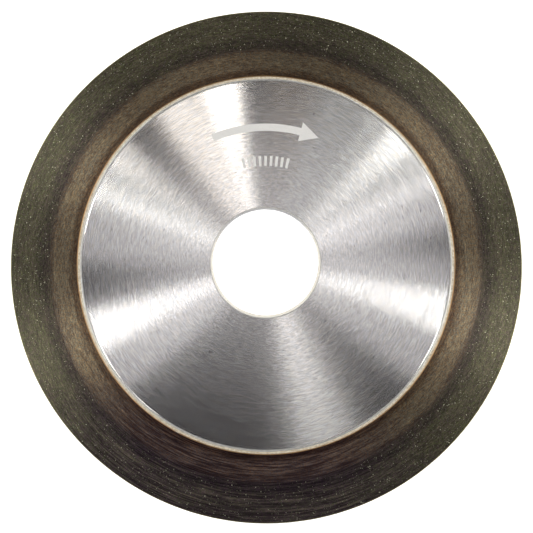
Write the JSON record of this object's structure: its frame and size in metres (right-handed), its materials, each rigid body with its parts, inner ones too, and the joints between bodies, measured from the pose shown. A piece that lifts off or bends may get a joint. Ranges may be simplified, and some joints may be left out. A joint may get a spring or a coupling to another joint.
{
  "type": "diamond grinding wheel",
  "caption": "Flat round grinding wheel with a diamond resin rim on a turned aluminium core with a plain spindle bore.",
  "frame": {"origin": "centre of the wheel's back plane, on the spindle axis", "axes": "+Z along the wheel's axis, out of its front face; the wheel is round, so +X and +Y are any two square directions in its plane, and the etched arrow of the visual lies on the +Y side"},
  "size_m": [0.15, 0.15, 0.008],
  "materials": {
    "turned_aluminium": "fine concentric turning marks, satin",
    "cured_adhesive": "matt, cut flush",
    "brown_resin": "dark brown resin, turned, dull sheen",
    "diamond_resin": "dark olive resin full of fine diamond grit, dressed in rings"
  },
  "bodies": {
    "root": {"aluminium_core": "turned_aluminium", "adhesive_line": "cured_adhesive", "backing_ring": "brown_resin", "diamond_ring": "diamond_resin"}
  },
  "joints": []
}
